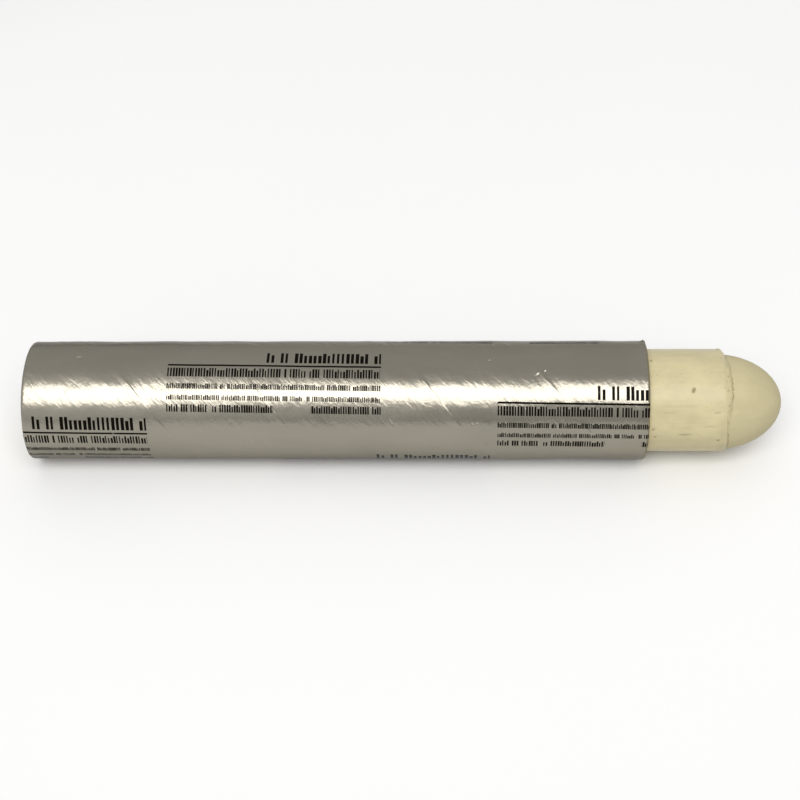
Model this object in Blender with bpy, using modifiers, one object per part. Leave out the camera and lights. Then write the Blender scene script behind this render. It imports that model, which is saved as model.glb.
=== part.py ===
"""Tire marking crayon: a cast stick of solid paint that slides in a spiral-wound paper sleeve.

The sleeve is three paper strips wound into helices on one pitch, each with its own butt seam,
under a printed foil label that is wrapped straight round and lapped on itself.
Every piece is modelled upright, rear end at zero and nose up, and then laid along +X.
"""

import math

import bmesh
import bpy

MM = 0.001

# The paint stick
STICK_DIAMETER = 16.45 * MM
STICK_LENGTH = 119.65 * MM
STICK_REAR_ROUND = 0.6 * MM
NOSE_LENGTH = 9.3 * MM
NOSE_HALF_LENGTH = 10.6 * MM
NOSE_STEP = 0.575 * MM
MOULD_LIP_HEIGHT = 0.24 * MM
MOULD_LIP_LENGTH = 0.18 * MM
SHOULDER_LENGTH = 0.8 * MM

# The sleeve, from the bore outwards
SLEEVE_LENGTH = 98.8 * MM
REAR_RECESS = 1.0 * MM
STICK_CLEARANCE = 0.10 * MM
LINER_THICKNESS = 0.28 * MM
INNER_KRAFT_THICKNESS = 0.36 * MM
OUTER_KRAFT_THICKNESS = 0.36 * MM
FOIL_THICKNESS = 0.08 * MM
GLUE_LINE = 0.04 * MM

# How the strips are wound: the advance per turn is the same for all three
WINDING_PITCH = 46.8 * MM
BUTT_GAP = 0.5 * MM
# Where each strip's seam crosses the front of the sleeve, from the rear end
LINER_SEAM = 7.2 * MM
INNER_KRAFT_SEAM = 38.7 * MM
OUTER_KRAFT_SEAM = 19.2 * MM
SEAM_FRONT_ANGLE = math.radians(230)

# How the label is lapped, at the back of the sleeve
LABEL_LAP = 5.0 * MM
LABEL_RAMP = 3.0 * MM
LABEL_EDGE_ANGLE = math.radians(60)

# Roundness of the turned stick, and of the sleeve, which lies on one of its flats
STICK_FACETS = 60
SLEEVE_FACETS = 30
FACET_ANGLE = math.tau / SLEEVE_FACETS
NOSE_STEPS = 10
ROUND_STEPS = 3
SMOOTH_ANGLE = math.radians(30)
WELD = 0.001 * MM

# Radii that follow from the stack of layers
STICK_RADIUS = STICK_DIAMETER / 2
LINER_RADIUS = STICK_RADIUS + STICK_CLEARANCE
INNER_KRAFT_RADIUS = LINER_RADIUS + LINER_THICKNESS + GLUE_LINE
OUTER_KRAFT_RADIUS = INNER_KRAFT_RADIUS + INNER_KRAFT_THICKNESS + GLUE_LINE
FOIL_RADIUS = OUTER_KRAFT_RADIUS + OUTER_KRAFT_THICKNESS + GLUE_LINE

# The crayon lies on one flat of its sleeve, centred over the origin along its length
AXIS_HEIGHT = FOIL_RADIUS * math.cos(FACET_ANGLE / 2) + FOIL_THICKNESS
REAR_X = -(REAR_RECESS + STICK_LENGTH) / 2


def clear_scene():
    """Empty the scene, so that only the crayon is left in it."""
    for old in list(bpy.data.objects):
        bpy.data.objects.remove(old, do_unlink=True)


def finish(name, colour, roughness, metallic=0.0):
    """A plain finish for one piece."""
    material = bpy.data.materials.new(name)
    material.use_nodes = True
    shader = material.node_tree.nodes["Principled BSDF"]
    shader.inputs["Base Color"].default_value = (*colour, 1.0)
    shader.inputs["Roughness"].default_value = roughness
    shader.inputs["Metallic"].default_value = metallic
    return material


def place(name, mesh, material, collection, axis, height=0.0):
    """Hang a piece on the crayon's axis, turned half a facet so that a flat of the sleeve faces down."""
    piece = bpy.data.objects.new(name, mesh)
    mesh.materials.append(material)
    collection.objects.link(piece)
    piece.parent = axis
    piece.location = (0.0, 0.0, height)
    piece.rotation_euler = (0.0, 0.0, FACET_ANGLE / 2)
    return piece


def smooth(mesh):
    """Shade the round surfaces smooth and keep the cut edges crisp."""
    mesh.shade_smooth()
    mesh.set_sharp_from_angle(angle=SMOOTH_ANGLE)


def outline_mesh(name, points, closed):
    """A wire outline in the XZ plane, from (radius, height) pairs."""
    shape = bmesh.new()
    corners = [shape.verts.new((radius, 0.0, height)) for radius, height in points]
    for first, second in zip(corners, corners[1:]):
        shape.edges.new((first, second))
    if closed:
        shape.edges.new((corners[-1], corners[0]))
    mesh = bpy.data.meshes.new(name)
    shape.to_mesh(mesh)
    shape.free()
    return mesh


def arc(centre, radius, start, end, steps):
    """Points along a circular arc, as (radius, height) pairs, with both ends."""
    turns = [start + (end - start) * i / steps for i in range(steps + 1)]
    return [(centre[0] + radius * math.cos(t), centre[1] + radius * math.sin(t)) for t in turns]


def stick_profile():
    """Half section of the stick, from the tip down its outer side to the rear face."""
    nose_half_width = STICK_RADIUS - NOSE_STEP
    nose_centre = STICK_LENGTH - NOSE_HALF_LENGTH
    crease = STICK_LENGTH - NOSE_LENGTH
    crease_turn = math.acos((crease - nose_centre) / NOSE_HALF_LENGTH)
    nose = []
    for step in range(NOSE_STEPS + 1):
        turn = crease_turn * step / NOSE_STEPS
        height = nose_centre + NOSE_HALF_LENGTH * math.cos(turn)
        nose.append((nose_half_width * math.sin(turn), height))
    # The nose die leaves a low lip on the body, which rolls back to the full diameter
    lip_radius = nose[-1][0] + MOULD_LIP_HEIGHT
    lip_height = crease - MOULD_LIP_LENGTH
    shoulder = []
    for step in range(ROUND_STEPS + 1):
        turn = math.pi / 2 * step / ROUND_STEPS
        radius = lip_radius + (STICK_RADIUS - lip_radius) * math.sin(turn)
        shoulder.append((radius, lip_height - SHOULDER_LENGTH * (1 - math.cos(turn))))
    rear_centre = (STICK_RADIUS - STICK_REAR_ROUND, STICK_REAR_ROUND)
    rear = arc(rear_centre, STICK_REAR_ROUND, 0.0, -math.pi / 2, ROUND_STEPS)
    return nose + shoulder + rear + [(0.0, 0.0)]


def paint_stick(collection, axis):
    """The cast stick: a turned body with a bullet nose and the lip that the nose die left."""
    mesh = outline_mesh("paint_stick", stick_profile(), closed=False)
    material = finish("solid_paint", (0.72, 0.64, 0.40), 0.55)
    stick = place("paint_stick", mesh, material, collection, axis, REAR_RECESS)
    turn = stick.modifiers.new("turned_round", "SCREW")
    turn.axis = "Z"
    turn.steps = STICK_FACETS
    turn.render_steps = STICK_FACETS
    turn.use_merge_vertices = True
    turn.merge_threshold = WELD
    turn.use_smooth_shade = True
    return stick


def wound_mesh(name, inner_radius, thickness, seam):
    """A paper strip wound as a right-handed helix and cut square at both ends of the sleeve."""
    front_turns = (SEAM_FRONT_ANGLE - FACET_ANGLE / 2) / math.tau
    seam_at_start = (seam - WINDING_PITCH * front_turns) % WINDING_PITCH
    low = seam_at_start + BUTT_GAP / 2 - 2 * WINDING_PITCH
    high = low + WINDING_PITCH - BUTT_GAP
    outer_radius = inner_radius + thickness
    section = [(inner_radius, low), (outer_radius, low), (outer_radius, high), (inner_radius, high)]
    strip = bpy.data.objects.new(name, outline_mesh(name, section, closed=True))
    bpy.context.scene.collection.objects.link(strip)
    winding = strip.modifiers.new("wound_on_mandrel", "SCREW")
    winding.axis = "Z"
    winding.angle = math.tau
    winding.screw_offset = WINDING_PITCH
    winding.iterations = math.ceil((SLEEVE_LENGTH - low) / WINDING_PITCH) + 1
    winding.steps = SLEEVE_FACETS
    winding.render_steps = SLEEVE_FACETS
    graph = bpy.context.evaluated_depsgraph_get()
    mesh = bpy.data.meshes.new_from_object(strip.evaluated_get(graph))
    bpy.data.objects.remove(strip, do_unlink=True)
    cut_square(mesh)
    mesh.name = name
    return mesh


def cut_square(mesh):
    """Cut a wound strip at both ends of the sleeve and close the cut faces."""
    shape = bmesh.new()
    shape.from_mesh(mesh)
    bmesh.ops.remove_doubles(shape, verts=shape.verts, dist=WELD)
    for height, outward in ((0.0, -1.0), (SLEEVE_LENGTH, 1.0)):
        everything = list(shape.verts) + list(shape.edges) + list(shape.faces)
        bmesh.ops.bisect_plane(
            shape,
            geom=everything,
            dist=WELD,
            plane_co=(0.0, 0.0, height),
            plane_no=(0.0, 0.0, outward),
            clear_outer=True,
        )
    bmesh.ops.holes_fill(shape, edges=[edge for edge in shape.edges if edge.is_boundary])
    bmesh.ops.recalc_face_normals(shape, faces=shape.faces)
    shape.to_mesh(mesh)
    shape.free()


def wound_plies(collection, axis):
    """The three strips of the sleeve: a greaseproof liner and two kraft plies."""
    kraft = finish("kraft_paper", (0.47, 0.33, 0.20), 0.85)
    greaseproof = finish("greaseproof_paper", (0.66, 0.57, 0.43), 0.7)
    plies = (
        ("liner_ply", LINER_RADIUS, LINER_THICKNESS, LINER_SEAM, greaseproof),
        ("inner_kraft_ply", INNER_KRAFT_RADIUS, INNER_KRAFT_THICKNESS, INNER_KRAFT_SEAM, kraft),
        ("outer_kraft_ply", OUTER_KRAFT_RADIUS, OUTER_KRAFT_THICKNESS, OUTER_KRAFT_SEAM, kraft),
    )
    for name, radius, thickness, seam, material in plies:
        mesh = wound_mesh(name, radius, thickness, seam)
        place(name, mesh, material, collection, axis)
        smooth(mesh)


def label_path():
    """The label's inner face round the sleeve, as points: once round, up a ramp and over its own edge."""
    lap_lift = FOIL_THICKNESS + GLUE_LINE
    ramp_turn = LABEL_RAMP / FOIL_RADIUS
    lap_turn = LABEL_LAP / FOIL_RADIUS
    whole_facets = SLEEVE_FACETS + int(lap_turn / FACET_ANGLE)
    turns = [FACET_ANGLE * i for i in range(whole_facets + 1)]
    turns.append(math.tau + lap_turn)
    ramp_start = math.tau - FACET_ANGLE - ramp_turn
    points = []
    for turn in turns:
        share = min(max((turn - ramp_start) / ramp_turn, 0.0), 1.0)
        lift = lap_lift * share * share * (3 - 2 * share)
        radius = FOIL_RADIUS + lift
        angle = LABEL_EDGE_ANGLE + turn
        points.append((radius * math.cos(angle), radius * math.sin(angle), 0.0))
    return points


def foil_label(collection, axis):
    """The foil label: one sheet wrapped straight round the plies and lapped at the back."""
    shape = bmesh.new()
    edge_points = [shape.verts.new(point) for point in label_path()]
    rear_edges = [shape.edges.new(pair) for pair in zip(edge_points, edge_points[1:])]
    drawn = bmesh.ops.extrude_edge_only(shape, edges=rear_edges)["geom"]
    front_points = [item for item in drawn if isinstance(item, bmesh.types.BMVert)]
    bmesh.ops.translate(shape, verts=front_points, vec=(0.0, 0.0, SLEEVE_LENGTH))
    for face in shape.faces:
        outward = face.calc_center_median()
        outward.z = 0.0
        if face.normal.dot(outward) < 0:
            face.normal_flip()
    mesh = bpy.data.meshes.new("foil_label")
    shape.to_mesh(mesh)
    shape.free()
    material = finish("printed_foil", (0.60, 0.58, 0.54), 0.3, metallic=1.0)
    label = place("foil_label", mesh, material, collection, axis)
    wall = label.modifiers.new("foil_thickness", "SOLIDIFY")
    wall.thickness = FOIL_THICKNESS
    wall.offset = 1.0
    wall.use_even_offset = True
    smooth(mesh)
    return label


def main():
    clear_scene()
    collection = bpy.data.collections.new("tire_marking_crayon")
    bpy.context.scene.collection.children.link(collection)
    axis = bpy.data.objects.new("crayon_axis", None)
    collection.objects.link(axis)
    axis.location = (REAR_X, 0.0, AXIS_HEIGHT)
    axis.rotation_euler = (0.0, math.pi / 2, 0.0)
    paint_stick(collection, axis)
    wound_plies(collection, axis)
    foil_label(collection, axis)
    bpy.context.view_layer.update()


main()
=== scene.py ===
"""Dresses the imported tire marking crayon: its foil label, its wound paper plies and its paint stick."""

import math

import bmesh
import bpy
import numpy as np
from mathutils import Matrix, Quaternion, Vector, noise


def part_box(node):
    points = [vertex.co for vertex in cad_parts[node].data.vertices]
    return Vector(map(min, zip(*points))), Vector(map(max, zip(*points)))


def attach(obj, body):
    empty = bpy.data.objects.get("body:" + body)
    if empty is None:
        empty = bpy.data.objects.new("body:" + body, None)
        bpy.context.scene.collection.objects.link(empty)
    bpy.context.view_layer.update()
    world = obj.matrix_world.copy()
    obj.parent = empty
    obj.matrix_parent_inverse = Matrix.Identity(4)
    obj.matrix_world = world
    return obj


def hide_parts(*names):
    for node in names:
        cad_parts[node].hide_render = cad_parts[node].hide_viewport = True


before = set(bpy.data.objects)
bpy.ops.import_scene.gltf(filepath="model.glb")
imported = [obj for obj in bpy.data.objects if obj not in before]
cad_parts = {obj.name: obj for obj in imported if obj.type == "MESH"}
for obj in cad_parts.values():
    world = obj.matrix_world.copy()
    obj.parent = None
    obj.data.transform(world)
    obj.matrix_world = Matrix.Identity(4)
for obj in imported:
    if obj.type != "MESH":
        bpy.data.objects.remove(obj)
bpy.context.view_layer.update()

bl_info = {
    "name": "Tire Marking Crayon",
    "version": (1, 0, 0),
    "blender": (4, 5, 0),
    "location": "View3D > Sidebar > Crayon",
    "description": "Models a paint crayon in its foil-covered paper sleeve, on a plain studio stage",
    "category": "Object",
}

MM = 0.001

# Places and sizes read from the frame, in metres
STICK_LOW, STICK_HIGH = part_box("paint_stick")
LABEL_LOW, LABEL_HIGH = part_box("foil_label")
AXIS_HEIGHT = (STICK_LOW.z + STICK_HIGH.z) / 2
REAR = LABEL_LOW.x
FRONT = LABEL_HIGH.x
STICK_REAR = STICK_LOW.x
TIP = STICK_HIGH.x
STICK_RADIUS = (STICK_HIGH.z - STICK_LOW.z) / 2
# The sleeve's solids have this many flats, so their boxes are a little smaller than the round sleeve
SLEEVE_FLATS = 30


def round_radius(node):
    """Radius of the circle that a sleeve node's flats are cut from."""
    low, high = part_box(node)
    return (high.z - low.z) / 2 / math.cos(math.pi / SLEEVE_FLATS)


SLEEVE_RADIUS = round_radius("foil_label")
# The label laid flat, in mm: its length, and how much of it lies in a turn of one radian
LABEL_LENGTH = (FRONT - REAR) / MM
PER_RADIAN = SLEEVE_RADIUS / MM


def length_setting(name, millimetres, description):
    """A length that a user can change, given in mm."""
    return bpy.props.FloatProperty(
        name=name, description=description, default=millimetres * MM, unit="LENGTH")


def angle_setting(name, degrees, description):
    """An angle that a user can change, given in degrees."""
    return bpy.props.FloatProperty(
        name=name, description=description, default=math.radians(degrees), subtype="ANGLE")


def number_setting(name, number, description):
    """A brightness, a share or another plain number that a user can change."""
    return bpy.props.FloatProperty(name=name, description=description, default=number)


def colour_setting(name, colour, description):
    """A colour that a user can change."""
    return bpy.props.FloatVectorProperty(
        name=name, description=description, default=colour, subtype="COLOR", size=3)


class CrayonCamera(bpy.types.PropertyGroup):
    """Where the photograph was taken from."""

    elevation: angle_setting("Elevation", 40, "Height of the view over the horizon")
    yaw: angle_setting("Yaw", -1.842, "How far the view turns towards the nose")
    distance: length_setting("Distance", 271.7, "From the lens to the crayon's axis")
    aim: length_setting("Aim", -0.76, "Where along the crayon the view is centred")
    lens: number_setting("Lens", 75.62, "Focal length on a 36 mm sensor, in mm")


class CrayonStage(bpy.types.PropertyGroup):
    """The floor and the studio light."""

    floor_colour: colour_setting("Floor", (0.995, 0.995, 0.99), "Colour of the floor")
    floor_bounce: number_setting(
        "Floor Bounce", 0.62, "Share of the floor's light that it throws back on the crayon")
    fade_centre: length_setting(
        "Fade Centre", 60, "How far behind the crayon the middle of the pale floor lies")
    fade_start: length_setting("Fade Start", 100, "Where the floor starts to fade into the surround")
    fade_end: length_setting("Fade End", 450, "Where the floor has faded into the surround")
    surround: number_setting("Surround", 0.645, "Brightness of the plain surround")
    side_surround: number_setting(
        "Side Surround", 0.25, "Brightness of the surround beyond the crayon's two ends")
    horizon: number_setting(
        "Horizon", 0.60, "Share of its brightness that the surround keeps above the floor")
    far_horizon: number_setting(
        "Far Horizon", 1.25, "The same share on the far side, towards the crayon's nose")
    far_rear_horizon: number_setting(
        "Far Rear Horizon", 0.45, "The same share on the far side, towards the crayon's rear")
    rear_share: number_setting(
        "Rear Share", 1.40, "Brightness of the near side's surround towards the crayon's rear")
    nose_share: number_setting(
        "Nose Share", 0.86, "Brightness of the near side's surround towards the crayon's nose")
    strip_brightness: number_setting("Strip Brightness", 4.0, "Brightness of the strip light's face")
    strip_elevation: angle_setting("Strip Elevation", 52.7, "Height of the strip light over the horizon")
    strip_half_angle: angle_setting(
        "Strip Half Angle", 16.5, "Half of the strip's width, as the crayon sees it")
    strip_distance: length_setting("Strip Distance", 2000, "From the strip light to the crayon")
    strip_tilt: angle_setting(
        "Strip Tilt", 9, "How far the strip light leans, lower towards the crayon's rear")
    strip_length: length_setting("Strip Length", 1900, "Length of the strip light along the crayon")


class CrayonLabel(bpy.types.PropertyGroup):
    """The foil label."""

    thickness: length_setting("Thickness", 0.08, "Foil and its paper backing")
    lap_angle: angle_setting(
        "Lap Edge", 6.3, "Where the free edge of the lap lies, turned about +X from +Y")
    lap_turn: angle_setting("Lap", 60, "How far round the lap reaches, with its ramp")
    lap_step: length_setting("Lap Step", 0.12, "Height of the lap over the bare label")
    crease_depth: length_setting("Crease Depth", 0.040, "How deep the foil sinks into the ply seams")
    crease_width: length_setting("Crease Width", 0.24, "Half width of a crease over a ply seam")
    wrinkle_height: length_setting(
        "Wrinkle Height", 0.020, "Height of the fine wrinkles of the glued foil")
    foil_colour: colour_setting("Foil", (0.317, 0.295, 0.243), "Colour of the metal")
    rim_round: length_setting("Rim Round", 0.50, "Length over which both rims turn in")
    rim_turn: length_setting("Rim Turn", 0.28, "How far both rims turn in over the ends of the plies")
    rim_burr: length_setting("Rim Burr", 0.32, "How far the burr on the front rim stands out")
    ink_colour: colour_setting("Ink", (0.0045, 0.0036, 0.0022), "Colour of the print")
    # The rubbed rim colour is a painted reflection of the cream paint in the turned-in front rim
    rim_reflection_colour: colour_setting("Rubbed Rim", (0.20, 0.175, 0.095), "Colour of the rubbed front rim")
    backing_colour: colour_setting("Backing", (0.62, 0.60, 0.55), "Colour of the paper behind the foil")


class CrayonPlies(bpy.types.PropertyGroup):
    """The wound paper strips under the label."""

    pitch: length_setting("Winding Pitch", 46.8, "Advance of the strips in one turn")
    butt_gap: length_setting("Butt Gap", 0.5, "Gap between neighbouring edges of a strip")
    outer_seam: length_setting(
        "Outer Seam", 19.2, "Where the outer kraft seam crosses the front, from the rear")
    inner_seam: length_setting(
        "Inner Seam", 38.7, "Where the inner kraft seam crosses the front, from the rear")
    liner_seam: length_setting(
        "Liner Seam", 7.2, "Where the liner's seam crosses the front, from the rear")
    rear_skew: length_setting(
        "Rear Skew", 0.18, "How far the rear cut leans forward at the top of the sleeve")
    setback: length_setting(
        "Setback", 0.42, "How far the plies end inside both rims of the label")
    kraft_thickness: length_setting("Kraft", 0.36, "Thickness of a kraft strip")
    liner_thickness: length_setting("Liner", 0.28, "Thickness of the greaseproof strip")
    kraft_colour: colour_setting("Kraft Colour", (0.47, 0.33, 0.20), "Colour of the brown paper")
    liner_colour: colour_setting("Liner Colour", (0.66, 0.57, 0.43), "Colour of the greaseproof paper")


class CrayonPaint(bpy.types.PropertyGroup):
    """The cast stick of solid paint."""

    nose_length: length_setting("Nose Length", 9.3, "From the crease behind the nose to the tip")
    nose_half_length: length_setting(
        "Nose Half Length", 10.6, "Half length of the ellipse that the nose follows")
    nose_step: length_setting(
        "Nose Step", 0.575, "How much thinner the nose is than the body, on the radius")
    nose_offset: length_setting(
        "Nose Offset", 0.27, "How far the cast nose sits off the stick's axis, towards the bottom")
    shoulder_length: length_setting("Shoulder", 0.50, "Length of the rounded shoulder behind the lip")
    lip_height: length_setting("Lip Height", 0.24, "How far the moulding lip stands over the crease")
    lip_wander: length_setting("Lip Wander", 0.10, "How far the torn lip strays along the stick")
    lip_tilt: length_setting(
        "Lip Tilt", 0.12, "How far the lip leans forward at the bottom and back at the top")
    lip_sway: length_setting("Lip Sway", 0.20, "How far the lip sways to and fro, twice in one turn")
    film_root: length_setting(
        "Film Root", 0.05, "How far back the lip lies where it runs out in a film")
    film_length: length_setting(
        "Film Length", 0.55, "How far a thin film of the lip runs out over the nose")
    film_height: length_setting(
        "Film Height", 0.09, "How far that film stands over the nose at its edge")
    rear_round: length_setting("Rear Round", 0.6, "Round on the rear edge")
    rear_dish: length_setting("Rear Dish", 0.25, "How far the rear face sinks in as the paint sets")
    colour: colour_setting("Paint", (0.628, 0.552, 0.325), "Colour of the solid paint")
    # The grime colour serves both the dark specks in the paint and the painted shade in the pits, the
    # crease and beside the lip
    grime_and_shade_colour: colour_setting("Grime", (0.16, 0.13, 0.06), "Colour of the dirt in pits and creases")


# The way round the crayon: angles turn about +X from +Y. The first of these faces the photograph's view,
# and the second is the lower edge of the crayon in it
FRONT_ANGLE = math.pi - math.radians(40)
DOWN_ANGLE = FRONT_ANGLE + math.pi / 2

# Fineness of the meshes, and the angle past which an edge stays sharp
LABEL_SIDES = 216
LABEL_CUTS = (100, 3)
STICK_SIDES = 288
STICK_CUTS = (63, 3)
STICK_RINGS = 257
PLY_STEPS = 120
SMOOTH_ANGLE = math.radians(40)

# The print: upper left corners of the blocks, in mm from the rear and degrees down from the front
PRINT_BLOCKS = (
    (-13.75, 14.3), (23.2, -52.5), (75.1, -14.5), (40.4, 63.9),
    (3.4, 131.0), (92.4, 102.0), (56.0, 160.0), (57.6, -136.0), (8.2, -157.0),
)
BLOCK_SIZE = (33.65, 10.3)
BLOCK_SLOPE = math.tan(math.radians(0.85))
# Rows of one block in mm: top, height, left, right, tick pitch (none for a rule), and the share of the
# pitch that the thinnest tick fills
BLOCK_ROWS = (
    (0.00, 2.20, 15.2, 33.6, 0.74, 0.42),
    (2.65, 0.32, 0.0, 33.65, None, None),
    (3.34, 1.52, 0.0, 33.5, 0.44, 0.45),
    (6.00, 0.88, 0.0, 33.65, 0.29, 0.55),
    (7.85, 0.80, 0.0, 33.65, 0.29, 0.50),
    (9.35, 1.20, 0.0, 16.8, 0.38, 0.50),
    (9.35, 1.20, 22.6, 33.65, 0.38, 0.50),
)
# The ticks: how much more of the pitch the widest one fills, the share of short ones, how much shorter
# they are, and the share left out
TICK_SPREAD = 0.34
SHORT_TICKS = 0.25
SHORT_BY = 0.24
MISSING_TICKS = 0.10

# Small nicks of the label: mm from the rear, degrees down from the front, then length, width and
# depth in mm and the slant of the length in degrees, rising towards the nose
NICKS = (
    (8.8, -45.4, 1.9, 0.80, 0.090, 4), (81.3, -24.2, 1.1, 0.50, 0.090, 45),
    (82.5, -27.8, 0.9, 0.46, 0.080, 40), (73.9, -40.7, 0.50, 0.50, 0.100, 0),
    (71.8, -31.0, 1.2, 0.36, 0.040, 80), (71.2, 23.2, 0.7, 0.46, 0.080, -60),
    (71.9, 22.6, 0.6, 0.42, 0.070, 55), (73.4, 48.1, 0.7, 0.50, 0.080, 0),
    (58.5, 21.3, 2.1, 0.42, 0.070, -54), (63.9, -16.2, 2.6, 0.60, -0.065, -54),
    (30.0, 95.0, 1.5, 0.5, 0.080, 30), (55.0, -140.0, 2.0, 0.5, 0.090, -40),
    (86.0, 150.0, 1.0, 0.6, 0.090, 70), (12.0, -118.0, 1.4, 0.45, 0.080, 10),
)
# Slant of the foil's fine wrinkles, falling towards the nose as the paper's seams do
WRINKLE_SLANT = math.radians(-50)
# The foil's finest relief in mm: its depth, the length and width of its streaks, and how far below the
# middle of the front they start to weaken and are weakest, where the label is glued more smoothly
RELIEF = 0.05
STREAK_SIZE = (2.6, 0.75)
SMOOTHER_BELOW = (1.0, 2.6)
# The ledge over a ply seam in mm across it: it rises, drops sharply at the seam and recovers
LEDGE_RISE = (-1.5, -0.05)
LEDGE_DROP = (-0.05, 0.16)
LEDGE_RECOVERY = (0.3, 3.0)
# How far behind the front rim, in mm, the foil starts to carry a painted reflection of the cream paint,
# less metallic and rougher, and where it is strongest
RIM_REFLECTION_FROM = 0.45
RIM_REFLECTION_FULL = 0.20

# Parts of a direction from the crayon between which the surround changes. Along the crayon: from the
# rear's light to the nose's on the near and the far side, and in the fall of light beyond both ends.
# Away from the view: from the near side to the far one, in brightness and at the horizon. Upwards: from
# the horizon's light to the full one
NEAR_CHANGE = (-0.20, 0.02)
FAR_CHANGE = (-0.20, -0.10)
SIDE_FALL = (0.30, 0.85)
NEAR_TO_FAR = (-0.5, 0.2)
FAR_HORIZON_FROM = (0.2, 0.6)
HORIZON_RISE = (0.0, 0.14)


def deselect_all():
    """Leave nothing selected, so that the next operator acts on its own piece alone."""
    if bpy.context.object and bpy.context.object.mode != "OBJECT":
        bpy.ops.object.mode_set(mode="OBJECT")
    bpy.ops.object.select_all(action="DESELECT")


def add_tube(name, radius, start, end, sides):
    """An open tube along the crayon's axis."""
    deselect_all()
    bpy.ops.mesh.primitive_cylinder_add(
        vertices=sides, radius=radius, depth=end - start, end_fill_type="NOTHING",
        location=((start + end) / 2, 0, AXIS_HEIGHT), rotation=(0, math.pi / 2, 0))
    tube = bpy.context.object
    tube.name = name
    tube.data.name = name
    bpy.ops.object.transform_apply(location=True, rotation=True, scale=True)
    return tube


def select_edges(piece, wanted):
    """In edit mode, select the edges for which wanted(edge) is true."""
    bpy.ops.mesh.select_mode(type="EDGE")
    bpy.ops.mesh.select_all(action="DESELECT")
    shape = bmesh.from_edit_mesh(piece.data)
    for edge in shape.edges:
        edge.select = wanted(edge)
    shape.select_flush_mode()
    bmesh.update_edit_mesh(piece.data)


def runs_along(edge):
    """Does an edge run along the crayon?"""
    span = edge.verts[1].co - edge.verts[0].co
    return abs(span.x) > 0.5 * span.length


def cut_rings(piece, passes):
    """Cut a tube into rings, in one or more passes of the given numbers of cuts."""
    bpy.ops.object.mode_set(mode="EDIT")
    for cuts in passes:
        select_edges(piece, runs_along)
        bpy.ops.mesh.subdivide(number_cuts=cuts)
    bpy.ops.object.mode_set(mode="OBJECT")


def turn_outwards():
    """In edit mode, point every face of a closed mesh outwards, and leave edit mode."""
    bpy.ops.mesh.select_all(action="SELECT")
    bpy.ops.mesh.normals_make_consistent(inside=False)
    bpy.ops.object.mode_set(mode="OBJECT")


def get_points(piece):
    """A mesh's points as an array, one row each."""
    points = np.empty(len(piece.data.vertices) * 3, np.float32)
    piece.data.vertices.foreach_get("co", points)
    return points.reshape(-1, 3).astype(float)


def set_points(piece, points):
    """Move a mesh's points to the rows of an array."""
    piece.data.vertices.foreach_set("co", points.astype(np.float32).ravel())
    piece.data.update()


def read_numbers(items, name):
    """A whole number of each of a mesh's corners or faces."""
    numbers = np.empty(len(items), np.int32)
    items.foreach_get(name, numbers)
    return numbers


def keep_shares(piece, name, shares):
    """Keep a share for each point of a mesh, for its material to read."""
    layer = piece.data.attributes.new(name, "FLOAT", "POINT")
    layer.data.foreach_set("value", shares.astype(np.float32))


def to_polar(points):
    """Along, angle and radius of points about the crayon's axis."""
    across = points[:, 1]
    up = points[:, 2] - AXIS_HEIGHT
    return points[:, 0].copy(), np.arctan2(up, across), np.hypot(across, up)


def from_polar(along, angle, radius):
    """Points from along, angle and radius."""
    up = AXIS_HEIGHT + radius * np.sin(angle)
    return np.stack([along, radius * np.cos(angle), up], axis=1)


def wrap(angle):
    """Angles brought to within half a turn of zero."""
    return (angle + math.pi) % math.tau - math.pi


def flat_places(along, angle):
    """Places on the label laid flat, in mm from the rear and down from the middle of the front."""
    return np.stack([(along - REAR) / MM, wrap(angle - FRONT_ANGLE) * PER_RADIAN], axis=1)


def smoothstep(value):
    """Ease from 0 to 1, flat outside."""
    share = np.clip(value, 0, 1)
    return share * share * (3 - 2 * share)


def roughness_field(points, seed, octaves=3):
    """Fractal noise at each point, about -1 to 1, with features about one unit across."""
    shift = Vector((seed * 13.1, seed * 7.7, seed * 3.3))
    return np.array([noise.fractal(Vector(p) + shift, 1.0, 2.0, octaves) for p in points])


def flat_roughness(first, second, sizes, seed, octaves, level=0.0):
    """Fractal noise on a flat map, with features of the given sizes, cut at a level."""
    points = [first / sizes[0], second / sizes[1], np.full(len(first), level)]
    return roughness_field(np.stack(points, axis=1), seed, octaves)


def use_material(piece, *materials):
    """Give a piece its materials, in order."""
    piece.data.materials.clear()
    for material in materials:
        piece.data.materials.append(material)


def shade(colour, share):
    """A colour made darker, or lighter with a share over 1."""
    return [part * share for part in colour]


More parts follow.
